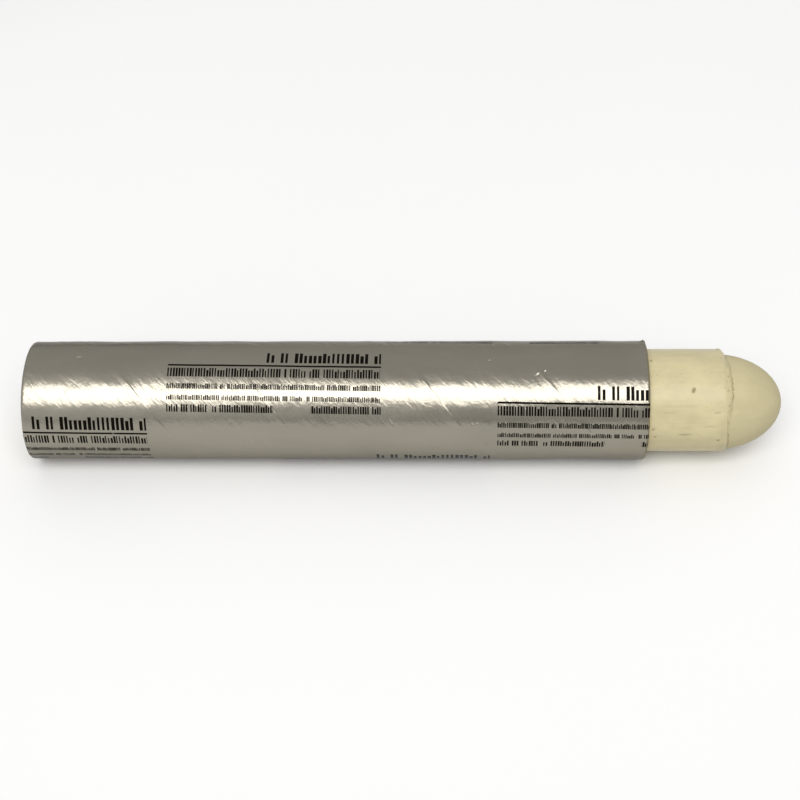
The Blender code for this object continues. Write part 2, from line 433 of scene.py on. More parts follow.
class NodeSheet:
    """The shader nodes of a new material or world, with short calls to add more."""

    def __init__(self, owner, shader):
        owner.use_nodes = True
        self.owner = owner
        self.tree = owner.node_tree
        self.shader = self.tree.nodes[shader]

    def add(self, kind, **settings):
        """Add a node and set its own settings."""
        node = self.tree.nodes.new(kind)
        for key, value in settings.items():
            setattr(node, key, value)
        return node

    def feed(self, socket, source):
        """Link an output to a socket, or set a constant on it."""
        if isinstance(source, bpy.types.NodeSocket):
            self.tree.links.new(source, socket)
        elif socket.type == "RGBA":
            socket.default_value = (*source, 1.0)
        else:
            socket.default_value = source

    def add_fed(self, kind, *sources, **settings):
        """Add a node and feed its first sockets."""
        node = self.add(kind, **settings)
        for socket, source in zip(node.inputs, sources):
            self.feed(socket, source)
        return node

    def math(self, operation, first, second=0.0, third=0.0):
        """A Math node's result."""
        return self.add_fed("ShaderNodeMath", first, second, third, operation=operation).outputs[0]

    def multiply(self, first, *others):
        """The product of several values."""
        for other in others:
            first = self.math("MULTIPLY", first, other)
        return first

    def spread(self, value, low, high, to_low=0.0, to_high=1.0):
        """Map a value from one range to another, held at both ends."""
        return self.add_fed(
            "ShaderNodeMapRange", value, low, high, to_low, to_high,
            interpolation_type="SMOOTHSTEP").outputs[0]

    def mix(self, factor, first, second):
        """A colour between two, by a factor."""
        node = self.add("ShaderNodeMix", data_type="RGBA")
        self.feed(node.inputs["Factor"], factor)
        colours = [socket for socket in node.inputs if socket.type == "RGBA"]
        self.feed(colours[0], first)
        self.feed(colours[1], second)
        return next(socket for socket in node.outputs if socket.type == "RGBA")

    def mapped(self, vector, kind, shift, turn, scale):
        """Coordinates that are shifted, turned and scaled, as a point or as a texture is."""
        node = self.add_fed("ShaderNodeMapping", vector, vector_type=kind)
        for name, value in (("Location", shift), ("Rotation", turn), ("Scale", scale)):
            node.inputs[name].default_value = value
        return node.outputs["Vector"]

    def place(self, scale=(1, 1, 1), turn=(0, 0, 0), shift=(0, 0, 0)):
        """Object coordinates, stretched, turned and shifted."""
        source = self.add("ShaderNodeTexCoord").outputs["Object"]
        return self.mapped(source, "POINT", shift, turn, scale)

    def from_mark(self, flat, middle, slant, size):
        """Flat coordinates from the middle of a mark, turned by its slant and in units of its size."""
        return self.mapped(flat, "TEXTURE", (*middle, 0), (0, 0, -slant), (*size, 1))

    def uv_map(self, name):
        """Coordinates from one of the piece's own maps."""
        return self.add("ShaderNodeUVMap", uv_map=name).outputs[0]

    def kept_share(self, name):
        """A share kept on the piece's points."""
        return self.add("ShaderNodeAttribute", attribute_name=name).outputs["Fac"]

    def split(self, vector):
        """The three parts of a vector."""
        return self.add_fed("ShaderNodeSeparateXYZ", vector).outputs

    def reach(self, vector):
        """The length of a vector."""
        return self.add_fed("ShaderNodeVectorMath", vector, operation="LENGTH").outputs["Value"]

    def noise(self, vector, scale, detail=2.0, roughness=0.5):
        """A noise texture's value."""
        node = self.add_fed("ShaderNodeTexNoise", vector)
        for name, value in (("Scale", scale), ("Detail", detail), ("Roughness", roughness)):
            node.inputs[name].default_value = value
        return node.outputs["Fac"]

    def chance(self, number):
        """Random values that stay the same for the same number: a plain one and a colour."""
        node = self.add("ShaderNodeTexWhiteNoise", noise_dimensions="1D")
        self.feed(node.inputs["W"], number)
        return node.outputs["Value"], node.outputs["Color"]

    def seen(self):
        """1 for rays from the camera and off gloss or through glass, 0 for rays that only carry light."""
        rays = self.add("ShaderNodeLightPath").outputs
        direct = self.math("MAXIMUM", rays["Is Camera Ray"], rays["Is Glossy Ray"])
        return self.math("MAXIMUM", direct, rays["Is Transmission Ray"])

    def bump(self, height, strength, distance):
        """A normal from a height."""
        node = self.add("ShaderNodeBump")
        self.feed(node.inputs["Height"], height)
        node.inputs["Strength"].default_value = strength
        node.inputs["Distance"].default_value = distance
        self.feed(self.shader.inputs["Normal"], node.outputs["Normal"])

    def set(self, **sockets):
        """Feed the shader's sockets, named with underscores."""
        for key, source in sockets.items():
            self.feed(self.shader.inputs[key.replace("_", " ")], source)


def new_material(name):
    """A new material's nodes."""
    return NodeSheet(bpy.data.materials.new(name), "Principled BSDF")


def print_mask(sheet):
    """Where the ink lies: rows of upright ticks of uneven width and height, and a rule."""
    along, down, _ = sheet.split(sheet.uv_map("print"))
    total = 0.0
    for row, (top, height, left, right, pitch, thinnest) in enumerate(BLOCK_ROWS):
        depth = sheet.math("DIVIDE", sheet.math("SUBTRACT", down, top), height)
        inside = sheet.multiply(
            sheet.math("GREATER_THAN", along, left), sheet.math("LESS_THAN", along, right),
            sheet.math("GREATER_THAN", depth, 0.0), sheet.math("LESS_THAN", depth, 1.0))
        if pitch:
            inside = sheet.multiply(inside, tick_mask(sheet, along, depth, pitch, thinnest, row))
        total = sheet.math("MAXIMUM", total, inside)
    return total


def tick_mask(sheet, along, depth, pitch, thinnest, row):
    """Ticks at a pitch, some short and some wide, in groups with gaps between them."""
    steps = sheet.math("DIVIDE", along, pitch)
    cell = sheet.math("FLOOR", steps)
    share = sheet.math("FRACT", steps)
    # Each row draws from its own stretch of chances
    _, shape = sheet.chance(sheet.math("ADD", cell, 31.0 * row + 0.5))
    wider, shorter, _ = sheet.add_fed("ShaderNodeSeparateColor", shape).outputs
    present, _ = sheet.chance(sheet.math("ADD", cell, 57.0 * row + 0.25))
    tick = sheet.math("LESS_THAN", share, sheet.math("MULTIPLY_ADD", wider, TICK_SPREAD, thinnest))
    short = sheet.math("GREATER_THAN", shorter, 1 - SHORT_TICKS)
    tall_enough = sheet.math("GREATER_THAN", depth, sheet.math("MULTIPLY", short, SHORT_BY))
    return sheet.multiply(tick, tall_enough, sheet.math("GREATER_THAN", present, MISSING_TICKS))


def foil_finish(label, plies):
    """Satin metal with fine slanting wrinkles and handling marks, printed in black, with a painted
    reflection of the cream paint on the front rim.
    """
    sheet = new_material("printed_foil")
    metal = label.foil_colour
    flat = sheet.uv_map("flat")
    marks = sheet.noise(sheet.place((0.35, 1, 1)), 160, 4.0, 0.6)
    tone = sheet.spread(marks, 0.3, 0.7)
    nicked = nicks(sheet, flat)
    scuffed = sheet.spread(nicked, -0.4, -2.0, 0.0, 0.5)
    rim_reflection = painted_rim_reflection(sheet, flat)
    worn = sheet.noise(sheet.place(), 900, 3.0, 0.7)
    ink = sheet.multiply(print_mask(sheet), sheet.spread(worn, 0.66, 0.74, 1.0, 0.4))
    dull = sheet.mix(tone, shade(metal, 0.95), shade(metal, 1.04))
    dull = sheet.mix(scuffed, dull, shade(metal, 2.2))
    # Painted reflection of the cream paint on the turned-in front rim, which is also less metallic and
    # rougher there
    dull = sheet.mix(rim_reflection, dull, label.rim_reflection_colour)
    satin = sheet.math("MULTIPLY_ADD", tone, 0.05, 0.225)
    satin = sheet.math("MULTIPLY_ADD", scuffed, 0.5, satin)
    bare = sheet.math("MULTIPLY_ADD", rim_reflection, -0.6, 1.0)
    sheet.set(
        Base_Color=sheet.mix(ink, dull, label.ink_colour),
        Metallic=sheet.multiply(sheet.math("SUBTRACT", 1.0, ink), bare),
        Roughness=sheet.math("MULTIPLY_ADD", rim_reflection, 0.2, satin),
        Specular_IOR_Level=sheet.math("MULTIPLY_ADD", ink, -0.46, 0.5),
        Specular_Tint=(0.55, 0.55, 0.55))
    relief = sheet.math("ADD", fine_wrinkles(sheet, flat, marks), seam_ledges(sheet, flat, plies))
    sheet.bump(sheet.math("ADD", relief, nicked), 1.0, RELIEF * MM)
    return sheet.owner


def fine_wrinkles(sheet, flat, marks):
    """Height of the finest wrinkles: slanting streaks, stronger at the handling marks, and grain."""
    slanted = sheet.from_mark(flat, (0, 0), WRINKLE_SLANT, STREAK_SIZE)
    streaks = sheet.spread(sheet.noise(slanted, 1.0), 0.40, 0.64)
    stronger = sheet.spread(marks, 0.35, 0.7, 0.23, 0.46)
    smoother = sheet.spread(sheet.split(flat)[1], *SMOOTHER_BELOW, 1.0, 0.35)
    grain = sheet.noise(flat, 2.0, 3.0, 0.55)
    return sheet.math("MULTIPLY_ADD", grain, 0.4, sheet.multiply(streaks, stronger, smoother))


def painted_rim_reflection(sheet, flat):
    """Where the front rim carries a painted reflection of the cream paint, unevenly, from the label's flat
    map in mm.
    """
    uneven = sheet.math("MULTIPLY_ADD", sheet.noise(flat, 1.2, 3.0, 0.6), 0.5, -0.25)
    place = sheet.math("ADD", sheet.split(flat)[0], uneven)
    return sheet.spread(place, LABEL_LENGTH - RIM_REFLECTION_FROM, LABEL_LENGTH - RIM_REFLECTION_FULL, 0.0, 0.8)


def nicks(sheet, flat):
    """Depth of the small handling nicks, from the label's flat map in mm."""
    total = 0.0
    for along, turn, length, width, depth, slant in NICKS:
        middle = (along, math.radians(turn) * PER_RADIAN)
        inside = sheet.from_mark(flat, middle, math.radians(slant), (length / 2, width / 2))
        nick = sheet.spread(sheet.reach(inside), 0.0, 1.0, -depth / RELIEF, 0.0)
        total = sheet.math("ADD", total, nick)
    return total


def seam_shares(plies):
    """Each ply's seam, and how strongly it shows through the label."""
    return ((plies.outer_seam, 1.0), (plies.inner_seam, 0.8), (plies.liner_seam, 0.15))


def seam_squareness(plies):
    """Distance square to a seam, as a share of the distance along the crayon."""
    return 1 / math.hypot(1, plies.pitch / (math.tau * SLEEVE_RADIUS))


def seam_ledges(sheet, flat, plies):
    """Height of the sharp ledges over the ply seams, from the label's flat map in mm."""
    along, down, _ = sheet.split(flat)
    pitch = plies.pitch / MM
    turns = sheet.math("DIVIDE", down, math.tau * PER_RADIAN)
    offset = sheet.math("SUBTRACT", sheet.math("DIVIDE", along, pitch), turns)
    total = 0.0
    for seam, share in seam_shares(plies):
        from_seam = sheet.math("SUBTRACT", offset, seam / plies.pitch)
        part = sheet.math("SUBTRACT", from_seam, sheet.math("ROUND", from_seam))
        gap = sheet.math("MULTIPLY", part, pitch * seam_squareness(plies))
        rise = sheet.spread(gap, *LEDGE_RISE, 0.0, 0.5)
        recover = sheet.spread(gap, *LEDGE_RECOVERY, 0.0, 0.5)
        ledge = sheet.math("SUBTRACT", sheet.math("ADD", rise, recover), sheet.spread(gap, *LEDGE_DROP))
        total = sheet.math("MULTIPLY_ADD", ledge, share, total)
    return sheet.multiply(total, sheet.kept_share("crease"), 0.8)


def backing_finish(label):
    """The paper side and cut edge of the label."""
    sheet = new_material("label_backing")
    paper = label.backing_colour
    fibres = sheet.noise(sheet.place((0.3, 1, 1)), 5000, 3.0, 0.6)
    sheet.set(
        Base_Color=sheet.mix(sheet.spread(fibres, 0.3, 0.7), shade(paper, 0.8), paper),
        Roughness=0.8)
    sheet.bump(fibres, 0.3, 0.02 * MM)
    return sheet.owner


def paper_finish(name, paper, roughness):
    """Wound paper: long fibres, darker flecks and a fuzzy surface."""
    sheet = new_material(name)
    fibres = sheet.noise(sheet.place((0.25, 1, 1), (0, 0, 0.6)), 4200, 4.0, 0.65)
    flecks = sheet.noise(sheet.place((0.5, 1, 1)), 1500)
    cloud = sheet.noise(sheet.place(), 260, 3.0)
    tone = sheet.mix(sheet.spread(fibres, 0.25, 0.75), shade(paper, 0.78), shade(paper, 1.12))
    tone = sheet.mix(sheet.spread(flecks, 0.64, 0.74), tone, shade(paper, 0.55))
    tone = sheet.mix(sheet.spread(cloud, 0.3, 0.8, 0.0, 0.35), tone, shade(paper, 0.85))
    sheet.set(Base_Color=tone, Roughness=roughness)
    sheet.bump(fibres, 0.5, 0.03 * MM)
    return sheet.owner


def paint_finish(paint):
    """Waxy cream paint: cloudy tone, lengthwise scuffs, specks, a duller nose, and painted shade in its
    pits, crease and lip.
    """
    sheet = new_material("solid_paint")
    cream = paint.colour
    nose = sheet.kept_share("nose")
    cloud = sheet.noise(sheet.place((0.6, 1, 1)), 420, 4.0, 0.6)
    scuffs = sheet.noise(sheet.place((0.10, 1, 1)), 1500, 3.0, 0.55)
    specks = sheet.noise(sheet.place(), 2400)
    grain = sheet.noise(sheet.place(), 6500, 3.0, 0.6)
    tone = sheet.mix(sheet.spread(cloud, 0.28, 0.72), shade(cream, 0.92), shade(cream, 1.06))
    tone = sheet.mix(sheet.spread(scuffs, 0.56, 0.72, 0.0, 0.35), tone, shade(cream, 1.10))
    tone = sheet.mix(sheet.spread(scuffs, 0.28, 0.42, 0.35, 0.0), tone, shade(cream, 0.86))
    tone = sheet.mix(sheet.spread(specks, 0.70, 0.76, 0.0, 0.45), tone, paint.grime_and_shade_colour)
    duller = sheet.mix(sheet.spread(cloud, 0.3, 0.7), shade(cream, 0.85), shade(cream, 0.92))
    tone = sheet.mix(sheet.math("MULTIPLY", nose, 0.85), tone, duller)
    # Painted shade in the pits, the crease and the film's voids, a painted shadow at the film's edge, and
    # a darker patch behind the lip, kept on the mesh
    grime_and_shade_share = sheet.math("MULTIPLY", sheet.kept_share("grime_and_shade"), 0.75)
    polish = sheet.spread(cloud, 0.25, 0.75, 0.30, 0.42)
    sheet.set(
        Base_Color=sheet.mix(grime_and_shade_share, tone, paint.grime_and_shade_colour),
        Roughness=sheet.math("MULTIPLY_ADD", nose, 0.28, polish),
        Specular_IOR_Level=0.35)
    sheet.bump(sheet.multiply(sheet.math("ADD", grain, scuffs), 0.5), 0.25, 0.03 * MM)
    return sheet.owner


def surround_shares(sheet, along, away, stage):
    """Brightness of the surround in a direction from the crayon, and the share left at the floor."""
    near = sheet.spread(along, *NEAR_CHANGE, stage.rear_share, stage.nose_share)
    far = sheet.spread(along, *FAR_CHANGE, stage.far_rear_horizon, stage.far_horizon)
    share = sheet.spread(away, *NEAR_TO_FAR, near, 1.0)
    return share, sheet.spread(away, *FAR_HORIZON_FROM, stage.horizon, far)


def floor_finish(stage):
    """A plain pale floor that throws back less light than it shows and fades into the surround."""
    sheet = new_material("pale_floor")
    pale = stage.floor_colour
    shown = sheet.mix(sheet.noise(sheet.place(), 30), shade(pale, 0.99), pale)
    from_centre = sheet.reach(sheet.place(shift=(0, -stage.fade_centre, 0)))
    far = sheet.spread(from_centre, stage.fade_start, stage.fade_end)
    seen = sheet.seen()
    direction = sheet.add_fed("ShaderNodeVectorMath", sheet.place(), operation="NORMALIZE").outputs[0]
    along, away, _ = sheet.split(direction)
    share, horizon = surround_shares(sheet, along, away, stage)
    shown = sheet.mix(far, shown, (0.0, 0.0, 0.0))
    sheet.set(
        Base_Color=sheet.mix(seen, shade(pale, stage.floor_bounce), shown),
        Emission_Color=(1.0, 1.0, 1.0),
        Emission_Strength=sheet.multiply(seen, far, share, horizon, stage.surround),
        Roughness=0.9,
        Specular_IOR_Level=0.1)
    sheet.owner.cycles.emission_sampling = "NONE"
    return sheet.owner


class CrayonBuildStage(bpy.types.Operator):
    """Add the floor, the strip light, the plain surround and the camera"""

    bl_idname = "crayon.build_stage"
    bl_label = "Stage"

    # Side of the floor in metres, and width of the camera's sensor in mm
    FLOOR_SIZE = 8.0
    SENSOR_WIDTH = 36.0

    def execute(self, context):
        scene = context.scene
        scene.view_settings.view_transform = "Standard"
        self.add_floor(scene.crayon_stage)
        self.add_surround(scene, scene.crayon_stage)
        self.add_strip(scene, scene.crayon_stage)
        self.add_camera(scene, scene.crayon_camera)
        return {"FINISHED"}

    def add_floor(self, stage):
        """A wide floor that touches the sleeve's underside."""
        deselect_all()
        lowest = AXIS_HEIGHT - SLEEVE_RADIUS
        bpy.ops.mesh.primitive_plane_add(size=self.FLOOR_SIZE, location=(0, 0, lowest))
        floor = bpy.context.object
        floor.name = "floor"
        bpy.ops.object.transform_apply(location=True)
        use_material(floor, floor_finish(stage))

    def add_surround(self, scene, stage):
        """A pale surround, uneven on the near side, whose light falls off towards the crayon's ends."""
        sheet = NodeSheet(bpy.data.worlds.new("surround"), "Background")
        along, away, height = sheet.split(sheet.add("ShaderNodeTexCoord").outputs["Generated"])
        sideways = sheet.math("ABSOLUTE", along)
        thrown = sheet.spread(sideways, *SIDE_FALL, stage.surround, stage.side_surround)
        share, horizon = surround_shares(sheet, along, away, stage)
        shown = sheet.multiply(share, sheet.spread(height, *HORIZON_RISE, horizon, 1.0), stage.surround)
        sheet.set(
            Color=(1.0, 1.0, 1.0),
            Strength=sheet.spread(sheet.seen(), 0.0, 1.0, thrown, shown))
        scene.world = sheet.owner

    def add_strip(self, scene, stage):
        """A long strip light on the camera's side, which makes the highlight along the foil."""
        lamp = bpy.data.lights.new("strip_light", "AREA")
        lamp.shape = "RECTANGLE"
        lamp.size = stage.strip_length
        lamp.size_y = 2 * stage.strip_distance * math.tan(stage.strip_half_angle)
        lamp.energy = stage.strip_brightness * math.pi * lamp.size * lamp.size_y
        strip = bpy.data.objects.new("strip_light", lamp)
        scene.collection.objects.link(strip)
        rise = stage.strip_elevation
        towards = Vector((0, -math.cos(rise), math.sin(rise)))
        strip.location = Vector((0, 0, AXIS_HEIGHT)) + towards * stage.strip_distance
        facing = towards.to_track_quat("Z", "Y")
        strip.rotation_euler = (facing @ Quaternion((0, 0, 1), stage.strip_tilt)).to_euler()

    def add_camera(self, scene, view):
        """The photograph's camera, level along the crayon and turned a little towards its rear."""
        lens = bpy.data.cameras.new("camera")
        lens.sensor_width = self.SENSOR_WIDTH
        lens.lens = view.lens
        lens.clip_start = 1 * MM
        camera = bpy.data.objects.new("camera", lens)
        scene.collection.objects.link(camera)
        level = Vector((0, math.cos(view.elevation), -math.sin(view.elevation)))
        along = Vector((1, 0, 0))
        forward = level * math.cos(view.yaw) + along * math.sin(view.yaw)
        right = along * math.cos(view.yaw) - level * math.sin(view.yaw)
        up = right.cross(forward)
        turned = Matrix((right, up, -forward)).transposed()
        place = Vector((view.aim, 0, AXIS_HEIGHT)) - forward * view.distance
        camera.matrix_world = Matrix.Translation(place) @ turned.to_4x4()
        scene.camera = camera


class CrayonBuildLabel(bpy.types.Operator):
    """Model the foil label with its lap, its creases and its print"""

    bl_idname = "crayon.build_label"
    bl_label = "Foil Label"

    # The lap's ramp as a share of its turn, and the width of its free edge as a share of one side
    LAP_RAMP = 0.3
    LAP_EDGE = 0.1
    # Lengths beside the rims in mm: where the rings are gathered, where the lean of the rear cut has
    # faded out, and how far and how high the rims are uneven
    GATHER_SPAN = 1.5
    SKEW_FADE = 4.0
    UNEVEN_REACH = 0.5
    UNEVEN_HEIGHT = 0.035
    # Sizes in mm: fine wrinkles across and along their slant, then broad waves and patches of stronger
    # wrinkles, along and round the label, and patches where the seams show more
    FINE_WRINKLES = (0.6, 1.9)
    BROAD_WAVES = (7.0, 4.0)
    WRINKLE_PATCHES = (4.5, 3.0)
    CREASE_PATCHES = (6.0, 6.0)
    # The foil starts to rise this many crease widths before a seam
    CREASE_RISE = 5
    # The burr: its turn down from the front and half of its own turn, then its distance from the front
    # rim and half of its length in mm
    BURR_TURN = math.radians(-79)
    BURR_HALF_TURN = math.radians(3.2)
    BURR_FROM_RIM = 0.3
    BURR_HALF_LENGTH = 0.42
    # How squarely a face has to look outwards to be foil
    FOIL_FACING = 0.25

    def execute(self, context):
        label = context.scene.crayon_label
        plies = context.scene.crayon_plies
        piece = add_tube("foil_sleeve", SLEEVE_RADIUS, REAR, FRONT, LABEL_SIDES)
        cut_rings(piece, LABEL_CUTS)
        self.close_wall(piece, label.thickness)
        self.shape_foil(piece, label, plies)
        self.lay_print(piece)
        use_material(piece, foil_finish(label, plies), backing_finish(label))
        self.sort_faces(piece)
        bpy.ops.object.shade_smooth_by_angle(angle=SMOOTH_ANGLE)
        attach(piece, "sleeve")
        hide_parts("foil_label")
        return {"FINISHED"}

    def close_wall(self, piece, thickness):
        """Turn both rims inwards by the label's thickness and bridge them with an inner wall."""
        bpy.ops.object.mode_set(mode="EDIT")
        select_edges(piece, lambda edge: edge.is_boundary)
        bpy.ops.mesh.extrude_edges_move()
        shrink = (SLEEVE_RADIUS - thickness) / SLEEVE_RADIUS
        bpy.ops.transform.resize(value=(1, shrink, shrink), center_override=(0, 0, AXIS_HEIGHT))
        select_edges(piece, lambda edge: edge.is_boundary)
        bpy.ops.mesh.bridge_edge_loops()
        turn_outwards()

    def shape_foil(self, piece, label, plies):
        """Press the lap, the seam creases, the wrinkles and the worn rims into the outer skin."""
        along, angle, radius = to_polar(get_points(piece))
        outer = radius > SLEEVE_RADIUS - label.thickness / 2
        along = self.gather_rings(along)
        angle = self.sharpen_lap(angle, label)
        # How far round from the lap's free edge, backwards over the lap
        behind = (label.lap_angle - angle + 1e-6) % math.tau
        lift = label.lap_step * smoothstep((label.lap_turn - behind) / (label.lap_turn * self.LAP_RAMP))
        flat = flat_places(along, angle)
        strength = self.crease_strength(flat)
        relief = self.wrinkles(flat, label) + strength * self.creases(along, angle, label, plies)
        relief += self.worn_rims(flat, angle, label)
        radius = radius + lift + np.where(outer, relief, 0.0) - self.turned_rims(along, label)
        # The rear cut leans forward at the top of the photograph's view
        lean = plies.rear_skew * (1 - np.sin(angle - FRONT_ANGLE))
        skew = lean * (1 - smoothstep(flat[:, 0] / self.SKEW_FADE))
        set_points(piece, from_polar(along + skew, angle, radius))
        keep_shares(piece, "crease", strength)

    def gather_rings(self, along):
        """Draw the rings beside both rims closer together, the closest at the rims."""
        span = self.GATHER_SPAN * MM
        from_rear = along - REAR
        along = np.where(from_rear < span, REAR + from_rear ** 2 / span, along)
        from_front = FRONT - along
        return np.where(from_front < span, FRONT - from_front ** 2 / span, along)

    def turned_rims(self, along, label):
        """How far both rims turn in over the cut ends of the plies."""
        from_rim = np.minimum(along - REAR, FRONT - along)
        share = np.clip(1 - from_rim / label.rim_round, 0, 1)
        return label.rim_turn * (1 - np.sqrt(1 - share ** 2))

    def sharpen_lap(self, angle, label):
        """Draw the two columns of points beside the lap's free edge close together."""
        step = math.tau / LABEL_SIDES
        past = wrap(angle - label.lap_angle)
        angle = np.where((past <= 0) & (past > -step), label.lap_angle, angle)
        return np.where((past > 0) & (past <= step), label.lap_angle + self.LAP_EDGE * step, angle)

    def wrinkles(self, flat, label):
        """Fine wrinkles, drawn out on a slant along the paper's seams, in stronger and weaker patches."""
        rise, run = math.sin(WRINKLE_SLANT), math.cos(WRINKLE_SLANT)
        along, down = flat.T
        fine = flat_roughness(
            along * rise + down * run, along * run - down * rise, self.FINE_WRINKLES, 1, 3)
        broad = flat_roughness(along, down, self.BROAD_WAVES, 2, 2)
        patches = flat_roughness(along, down, self.WRINKLE_PATCHES, 3, 2)
        return label.wrinkle_height * (fine * np.clip(0.8 + 1.2 * patches, 0.15, 1.8) + 3 * broad)

    def crease_strength(self, flat):
        """How strongly a seam shows through the foil, in patches from faint to strong."""
        patches = flat_roughness(*flat.T, self.CREASE_PATCHES, 231, 2, level=9.0)
        return np.clip(0.7 + 0.8 * patches, 0.15, 1.2)

    def creases(self, along, angle, label, plies):
        """Ledges over the butt seams of the plies: the foil rises to each seam and drops beyond it."""
        turns = (angle - FRONT_ANGLE) / math.tau
        total = np.zeros(len(along))
        for seam, share in seam_shares(plies):
            offset = (along - REAR - seam) / plies.pitch - turns
            gap = (offset - np.round(offset)) * plies.pitch * seam_squareness(plies)
            total += share * smoothstep(gap / (self.CREASE_RISE * label.crease_width) + 1) * (gap < 0)
            total += share * smoothstep(1 - gap / label.crease_width) * (gap >= 0)
        return label.crease_depth * total

    def worn_rims(self, flat, angle, label):
        """Slightly lifted and uneven edges, with one burr on the front rim."""
        from_front = LABEL_LENGTH - flat[:, 0]
        from_rim = np.minimum(flat[:, 0], from_front)
        around = np.stack([np.cos(angle) * 9, np.sin(angle) * 9, flat[:, 0] * 0.02], axis=1)
        uneven = self.UNEVEN_HEIGHT * MM * (roughness_field(around, 7, 3) + 0.4)
        uneven = uneven * np.exp(-((from_rim / self.UNEVEN_REACH) ** 2))
        turn = wrap(angle - FRONT_ANGLE - self.BURR_TURN) / self.BURR_HALF_TURN
        run = (from_front - self.BURR_FROM_RIM) / self.BURR_HALF_LENGTH
        return uneven + label.rim_burr * np.exp(-(turn ** 2 + run ** 2))

    def lay_print(self, piece):
        """Map the skin in mm: its place in the nearest print block, and its place on the flat label."""
        mesh = piece.data
        along, angle, _ = to_polar(get_points(piece))
        starts = read_numbers(mesh.polygons, "loop_start")
        face_of_loop = np.repeat(np.arange(len(starts)), read_numbers(mesh.polygons, "loop_total"))
        place = flat_places(along, angle)[read_numbers(mesh.loops, "vertex_index")]
        # A face at the back keeps all its corners on one side of the flat label
        first = place[starts][face_of_loop]
        around = math.tau * PER_RADIAN
        place[:, 1] = first[:, 1] + (place[:, 1] - first[:, 1] + around / 2) % around - around / 2
        corners = np.array(PRINT_BLOCKS) * (1.0, math.radians(1) * PER_RADIAN)
        away = place[starts][:, None, :] - corners[None] - np.array(BLOCK_SIZE) / 2
        nearest = np.argmin(np.abs(away / np.array(BLOCK_SIZE)).max(axis=2), axis=1)
        local = place - corners[nearest][face_of_loop]
        local[:, 1] -= local[:, 0] * BLOCK_SLOPE
        for name, corner_places in (("print", local), ("flat", place)):
            layer = mesh.uv_layers.new(name=name)
            layer.data.foreach_set("uv", corner_places.astype(np.float32).ravel())

    def sort_faces(self, piece):
        """Foil on the outer skin, paper on the rims and inside."""
        for face in piece.data.polygons:
            outward = Vector((0, face.center.y, face.center.z - AXIS_HEIGHT)).normalized()
            face.material_index = 0 if face.normal.dot(outward) > self.FOIL_FACING else 1


class CrayonBuildPlies(bpy.types.Operator):
    """Wind the greaseproof liner and both kraft strips"""

    bl_idname = "crayon.build_plies"
    bl_label = "Paper Plies"

    # Turns that a strip may start behind the rear rim, to be trimmed off
    RUN_IN = 2

    def execute(self, context):
        plies = context.scene.crayon_plies
        kraft = paper_finish("kraft_paper", plies.kraft_colour, roughness=0.88)
        greaseproof = paper_finish("greaseproof_paper", plies.liner_colour, roughness=0.6)
        rows = (
            ("liner_ply", plies.liner_thickness, plies.liner_seam, greaseproof, "greaseproof_paper"),
            ("inner_kraft_ply", plies.kraft_thickness, plies.inner_seam, kraft, "kraft_paper"),
            ("outer_kraft_ply", plies.kraft_thickness, plies.outer_seam, kraft, "kraft_paper"),
        )
        for node, thickness, seam, material, slot in rows:
            start = seam - plies.pitch * FRONT_ANGLE / math.tau
            low = REAR + (start % plies.pitch) + plies.butt_gap / 2 - self.RUN_IN * plies.pitch
            piece = self.draw_section(node, thickness, low, plies)
            self.wind(piece, low, plies)
            self.trim(piece, plies)
            use_material(piece, material)
            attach(piece, "sleeve")
            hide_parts(node)
        return {"FINISHED"}

    def draw_section(self, node, thickness, low, plies):
        """The outline of a strip's cross section, on one side of the axis."""
        outer = round_radius(node)
        deselect_all()
        bpy.ops.mesh.primitive_plane_add(size=1)
        piece = bpy.context.object
        piece.name = "wound_" + node
        piece.data.name = piece.name
        bpy.ops.object.mode_set(mode="EDIT")
        bpy.ops.mesh.delete(type="ONLY_FACE")
        bpy.ops.object.mode_set(mode="OBJECT")
        points = get_points(piece)
        along = np.where(points[:, 0] > 0, low + plies.pitch - plies.butt_gap, low)
        radius = np.where(points[:, 1] > 0, outer, outer - thickness)
        set_points(piece, np.stack([along, radius, np.zeros(len(points))], axis=1))
        return piece

    def wind(self, piece, low, plies):
        """Wind a strip's section past both ends of the sleeve, and lift it to the crayon's axis."""
        winding = piece.modifiers.new("winding", "SCREW")
        winding.axis = "X"
        winding.screw_offset = plies.pitch
        winding.iterations = math.ceil((FRONT - low) / plies.pitch) + 1
        winding.steps = PLY_STEPS
        winding.render_steps = PLY_STEPS
        bpy.ops.object.modifier_apply(modifier="winding")
        points = get_points(piece)
        points[:, 2] += AXIS_HEIGHT
        set_points(piece, points)

    def trim(self, piece, plies):
        """Cut a wound strip off inside both rims of the label, at the rear along the leaning cut."""
        lean = plies.rear_skew / SLEEVE_RADIUS
        rear_cut = (-1, -lean * math.cos(DOWN_ANGLE), -lean * math.sin(DOWN_ANGLE))
        rear = REAR + plies.rear_skew + plies.setback
        bpy.ops.object.mode_set(mode="EDIT")
        for place, outward in ((rear, rear_cut), (FRONT - plies.setback, (1, 0, 0))):
            bpy.ops.mesh.select_all(action="SELECT")
            bpy.ops.mesh.bisect(
                plane_co=(place, 0, AXIS_HEIGHT), plane_no=outward, use_fill=True, clear_outer=True)
        turn_outwards()
        bpy.ops.object.shade_smooth_by_angle(angle=SMOOTH_ANGLE)


